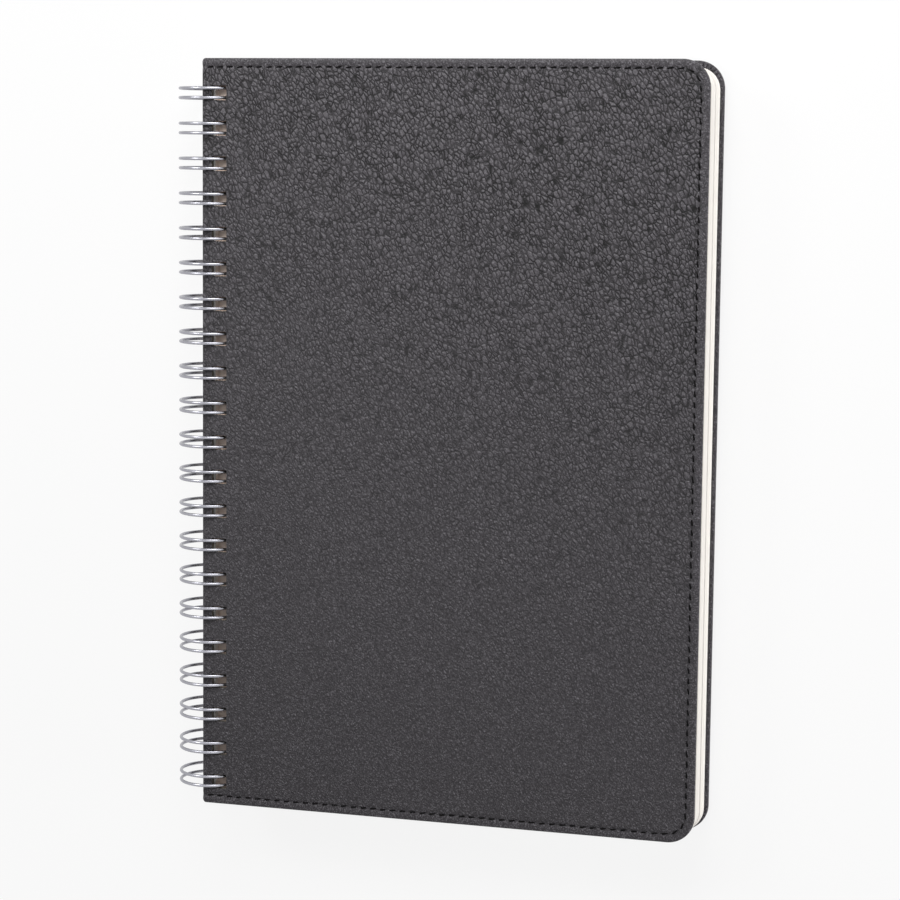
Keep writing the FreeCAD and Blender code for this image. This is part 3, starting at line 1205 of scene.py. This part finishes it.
@dataclass
class Sheets:
    """The block of sheets: bowed to the loops, punched, with edges that don't quite line up."""

    holes: Punches
    paper: Material
    punched: Material
    corner_radius: float = 6.0
    cut_radius: float = 0.5
    corner_steps: int = 14
    side_inset: float = 3.25
    hole_width: float = 3.8
    hole_setback: float = 4.8
    hole_extra_height: float = 0.16
    hole_ease: float = 1.4
    hole_levels: int = 12
    cut_reach: float = 0.25
    leaves: int = 56
    slip: float = 0.07
    slip_out: float = 0.3
    seed: int = 5

    def build(self) -> None:
        """Stacks the leaves, cuts the channels and dresses the block."""
        holes = self.holes
        low, high = (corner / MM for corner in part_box("page_block"))
        self.z0, self.z1 = low.z, high.z
        centre = holes.reach(self.z0, holes.ring_radius)
        base_x = centre - self.hole_setback
        front_low, front_high = (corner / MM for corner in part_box("front_cover_leather"))
        width = front_high.x - front_low.x - self.side_inset
        draw = random.Random(self.seed)
        bm = bmesh.new()
        self.stack(bm, Vector((base_x, low.y, 0.0)), Vector((base_x + width, high.y, 0.0)), self.leaves, draw)
        piece = solid_object(bm, "sheets")
        cutter = bmesh.new()
        tall = (holes.pair_spacing + holes.wire_diameter) / 2.0 + holes.clearance
        tall += self.hole_extra_height / 2.0
        for y in holes.heights:
            a = Vector((centre - self.hole_width / 2.0 - self.hole_ease, y - tall, 0.0))
            b = Vector((centre + self.hole_width / 2.0, y + tall, 0.0))
            self.stack(cutter, a, b, self.hole_levels, None)
        channels = solid_object(cutter, "channel_cutter")
        for mesh in (piece.data, channels.data):
            mesh.materials.append(self.paper)
            mesh.materials.append(self.punched)
        # The channel walls take the warm-tinted paper: painted bounce light in the holes.
        channels.data.polygons.foreach_set("material_index", [1] * len(channels.data.polygons))
        cut_away(piece, channels)
        finish_piece(piece, self.paper, "page_block", crease_deg=20.0)

    def stack(self, bm: BMesh, low: Vector, high: Vector, steps: int, draw: random.Random | None) -> None:
        """Draws an outline up through the block, following the loops.

        Args:
            bm: what it is added to.
            low: lowest X and Y of the outline at the bottom of the block.
            high: highest X and Y there.
            steps: levels between bottom and top.
            draw: source of the leaves' slip, or None for a cutter, which also reaches past both faces.
        """
        holes = self.holes
        spare = 0.0 if draw else self.cut_reach
        z0, z1 = self.z0 - spare, self.z1 + spare
        radii = (self.cut_radius, self.corner_radius) if draw else (0.0, 0.0)
        top = rounded_plate(bm, low, high, z0, radii, self.corner_steps)
        rest = holes.reach(self.z0, holes.ring_radius)
        shift_now = Vector((holes.reach(z0, holes.ring_radius) - rest, 0.0, 0.0))
        bmesh.ops.translate(bm, verts=top.verts[:], vec=shift_now)
        slip_now = Vector((0.0, 0.0, 0.0))
        for n in range(1, steps + 1):
            z = z0 + (z1 - z0) * n / steps
            shift = Vector((holes.reach(z, holes.ring_radius) - rest, 0.0, 0.0))
            slip = slip_now
            if draw:
                slip = Vector((draw.uniform(-1, self.slip_out), draw.uniform(-1, 1), 0.0)) * self.slip
            made = bmesh.ops.extrude_face_region(bm, geom=[top])
            top = next(g for g in made["geom"] if isinstance(g, BMFace))
            way = shift - shift_now + slip - slip_now + Vector((0.0, 0.0, (z1 - z0) / steps))
            bmesh.ops.translate(bm, verts=top.verts[:], vec=way)
            shift_now, slip_now = shift, slip


@dataclass(frozen=True)
class Lamp:
    """Soft lamp: a square one that looks at the middle of the notebook, or a globe."""

    name: str
    place: tuple[float, float, float]
    size: float
    power: float
    globe: bool = False

    def hang(self) -> None:
        """Puts the lamp into the scene; a globe lights all sides alike and leaves no glare on the covers."""
        data = bpy.data.lights.new(self.name, "POINT" if self.globe else "AREA")
        data.energy = self.power
        lamp = place_object(self.name, data)
        lamp.location = self.place
        if self.globe:
            data.shadow_soft_size = self.size
            lamp.visible_glossy = False
        else:
            data.size = self.size
            lamp.rotation_euler = (-Vector(self.place)).to_track_quat("-Z", "Y").to_euler()


@dataclass
class Studio:
    """White floor, soft lamps and the camera at the photograph's angle."""

    focal_px: float = 2583.4
    tilt_deg: float = 6.861
    turn_deg: float = -16.243
    roll_deg: float = -0.609
    offset_mm: tuple[float, float, float] = (-70.564, -100.467, -736.688)
    clip_m: tuple[float, float] = (0.01, 20.0)
    floor_half_m: float = 3.0
    floor_drop_m: float = 0.0002
    floor_hex: str = "fafafa"
    floor_roughness: float = 0.9
    floor_plain_share: float = 0.86
    room_light: float = 0.22
    lamps: tuple[Lamp, ...] = (
        Lamp("head_lamp", (0.05, 0.34, 0.27), 0.25, 1.12),
        Lamp("spine_lamp", (-0.42, 0.34, 0.42), 0.25, 1.6),
        Lamp("fore_edge_fill", (0.55, -0.09, 0.09), 0.08, 6.2, globe=True),
    )

    def camera(self) -> None:
        """Places the camera from the pose of the front cover's lower spine corner."""
        low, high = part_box("front_cover_leather")
        corner = Vector((low.x, low.y, high.z))
        turned = (
            Matrix.Rotation(math.radians(self.roll_deg), 4, "Z")
            @ Matrix.Rotation(math.radians(self.tilt_deg), 4, "X")
            @ Matrix.Rotation(math.radians(self.turn_deg), 4, "Y")
        )
        seen = Matrix.Translation(Vector(self.offset_mm) * MM) @ turned @ Matrix.Translation(-corner)
        data = bpy.data.cameras.new("camera")
        data.sensor_width = SENSOR_WIDTH_MM
        data.lens = self.focal_px / IMAGE_WIDTH_PX * SENSOR_WIDTH_MM
        data.clip_start, data.clip_end = self.clip_m
        camera = place_object("camera", data)
        camera.matrix_world = seen.inverted()
        bpy.context.scene.camera = camera

    @staticmethod
    def plain_white(tree: NodeTree) -> NodeSocket:
        """1 for the rays that show the background itself: to the eye, in metal and through glass.

        Args:
            tree: node tree of the floor or the room.

        Returns:
            The switch.
        """
        path = add_node(tree, "ShaderNodeLightPath")
        switch = path.outputs["Is Camera Ray"]
        for ray in ("Is Glossy Ray", "Is Transmission Ray"):
            switch = add_node(tree, MATH, LARGER, i0=switch, i1=path.outputs[ray]).outputs["Value"]
        return switch

    def floor(self) -> None:
        """Plain white table top under the notebook."""
        mesh = bpy.data.meshes.new("floor")
        bm = bmesh.new()
        bmesh.ops.create_grid(bm, x_segments=1, y_segments=1, size=self.floor_half_m)
        bm.to_mesh(mesh)
        bm.free()
        floor = place_object("floor", mesh)
        floor.location.z = -self.floor_drop_m
        # A matt white sweep: plain white to the eye, with only the notebook's soft shadow on it.
        material = bpy.data.materials.new("white_sweep")
        tree = empty_tree(material)
        colour = linear(self.floor_hex)
        matt = add_node(tree, "ShaderNodeBsdfPrincipled", Base_Color=colour, Roughness=self.floor_roughness)
        white = add_node(tree, "ShaderNodeEmission", Color=(1.0, 1.0, 1.0, 1.0), Strength=1.0)
        share = add_node(tree, MATH, PRODUCT, i0=self.plain_white(tree), i1=self.floor_plain_share)
        shaders = {"i1": matt.outputs["BSDF"], "i2": white.outputs["Emission"]}
        mix = add_node(tree, "ShaderNodeMixShader", i0=share.outputs["Value"], **shaders)
        add_node(tree, "ShaderNodeOutputMaterial", Surface=mix.outputs["Shader"])
        mesh.materials.append(material)

    def light(self) -> None:
        """A near lamp past the notebook's top, which fades down the cover, a fill and a pale room."""
        for lamp in self.lamps:
            lamp.hang()
        world = bpy.data.worlds.new("room")
        tree = empty_tree(world)
        scalar, plain = {"data_type": "FLOAT"}, self.plain_white(tree)
        strength = add_node(tree, MIX, scalar, Factor=plain, A=self.room_light, B=1.0).outputs["Result"]
        sky = add_node(tree, "ShaderNodeBackground", Color=(1.0, 1.0, 1.0, 1.0), Strength=strength)
        add_node(tree, "ShaderNodeOutputWorld", Surface=sky.outputs["Background"])
        bpy.context.scene.world = world

    def build(self) -> None:
        """Camera, floor and light."""
        self.camera()
        self.floor()
        self.light()
        bpy.context.scene.view_settings.view_transform = "Standard"


def main() -> None:
    """Builds every piece in order and reports it."""
    leather = PebbledLeather().material()
    board = BoardOrLining("dense_grey_board", "4a463f", "6a655b", 0.8, 0.9).material()
    lining = BoardOrLining("smooth_dark_lining_paper", "1c1b1d", "262527", 0.5, 0.7).material()
    thread = SewingThread().material()
    holes = Punches()
    for side in CoverSide:
        Cover(side, leather, thread, board, lining).build(holes)
    # A warm-tinted copy of the paper for the punched walls: painted warm bounce light inside the holes.
    punched = CutPaper("punched_edge_painted_bounce", paper_hex="f8eae0", shade_hex="efdccf")
    Sheets(holes, CutPaper().material(), punched.material()).build()
    Binding(holes, PlatedWire().material()).build()
    Studio().build()
    log.info("studio ready")


if __name__ == "__main__":
    main()
